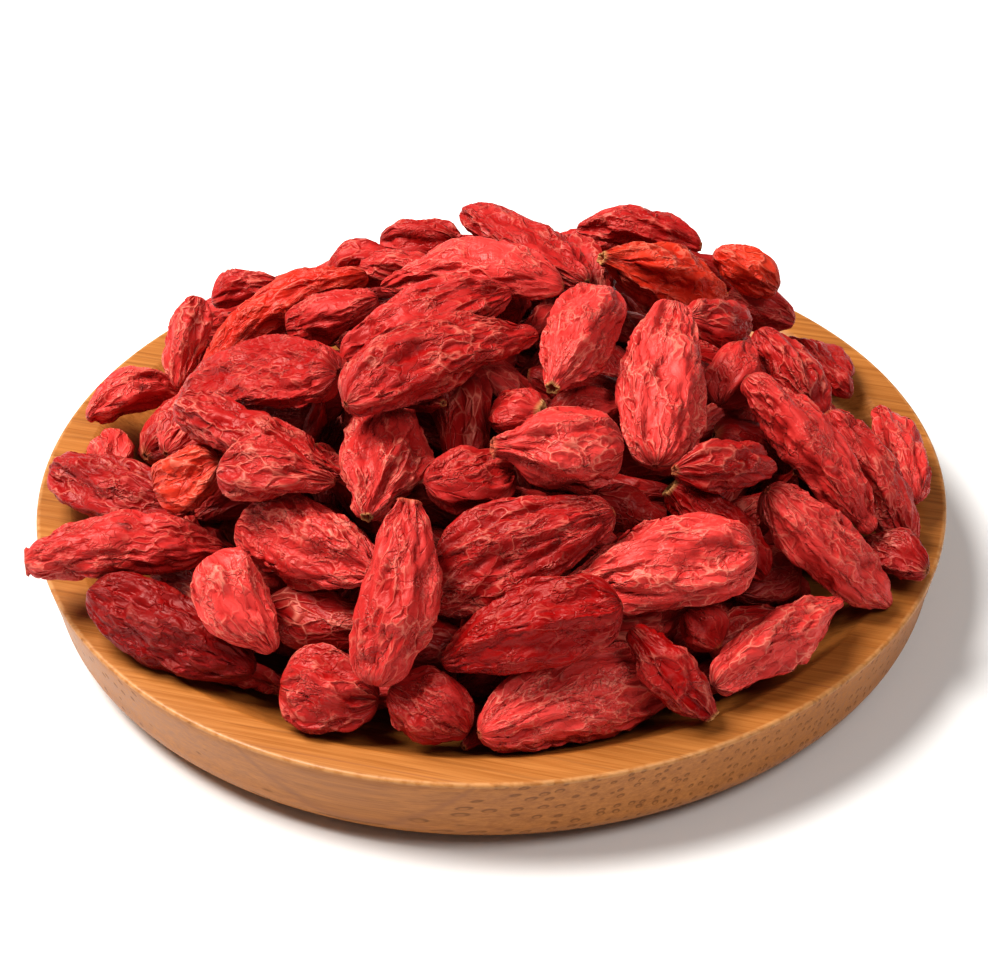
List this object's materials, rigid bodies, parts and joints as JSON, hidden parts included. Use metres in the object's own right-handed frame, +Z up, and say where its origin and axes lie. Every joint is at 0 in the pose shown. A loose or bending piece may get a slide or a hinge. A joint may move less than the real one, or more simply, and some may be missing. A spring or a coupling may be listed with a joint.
{
  "type": "bowl of dried goji berries",
  "caption": "Shallow round turned bamboo dish with a flat rim, heaped with wrinkled red dried goji berries.",
  "frame": {"origin": "centre of the dish's flat underside, on the table", "axes": "+Z up along the dish's axis; -Y towards the side that the picture shows in front; +X to its right"},
  "size_m": [0.095, 0.095, 0.0388],
  "materials": {
    "bamboo": "semi-gloss clear lacquer over laminated bamboo",
    "berry_red": "wrinkled, slightly waxy dried fruit skin, deep red",
    "berry_orange": "wrinkled, slightly waxy dried fruit skin, orange red",
    "berry_dark": "wrinkled, slightly waxy dried fruit skin, dark maroon"
  },
  "bodies": {
    "root": {"bamboo_dish": "bamboo", "berry_01": "berry_red", "berry_02": "berry_red", "berry_03": "berry_red", "berry_04": "berry_red", "berry_05": "berry_red", "berry_06": "berry_red", "berry_07": "berry_orange", "berry_08": "berry_orange", "berry_09": "berry_red", "berry_10": "berry_red", "berry_11": "berry_red", "berry_12": "berry_orange", "berry_13": "berry_red", "berry_14": "berry_red", "berry_15": "berry_red", "berry_16": "berry_red", "berry_17": "berry_red", "berry_18": "berry_red", "berry_19": "berry_red", "berry_20": "berry_red", "berry_21": "berry_red", "berry_22": "berry_red", "berry_23": "berry_red", "berry_24": "berry_red", "berry_25": "berry_red", "berry_26": "berry_dark", "berry_27": "berry_orange", "berry_28": "berry_red", "berry_29": "berry_red", "berry_30": "berry_red", "berry_31": "berry_red", "berry_32": "berry_red", "berry_33": "berry_red", "berry_34": "berry_dark", "berry_35": "berry_red", "berry_36": "berry_red", "berry_37": "berry_red", "berry_38": "berry_red", "berry_39": "berry_red", "berry_40": "berry_red", "berry_41": "berry_red", "berry_42": "berry_red", "berry_43": "berry_red", "berry_44": "berry_red", "berry_45": "berry_red", "berries_inside": "berry_dark", "berry_clump_01": "berry_red", "berry_clump_02": "berry_red", "berry_clump_03": "berry_red", "berry_clump_04": "berry_red", "berry_clump_05": "berry_red", "berry_clump_06": "berry_red", "berry_clump_07": "berry_dark", "berry_clump_08": "berry_red", "berry_clump_09": "berry_red", "berry_clump_10": "berry_red", "berry_clump_11": "berry_red", "berry_clump_12": "berry_red", "berry_clump_13": "berry_red"}
  },
  "joints": []
}
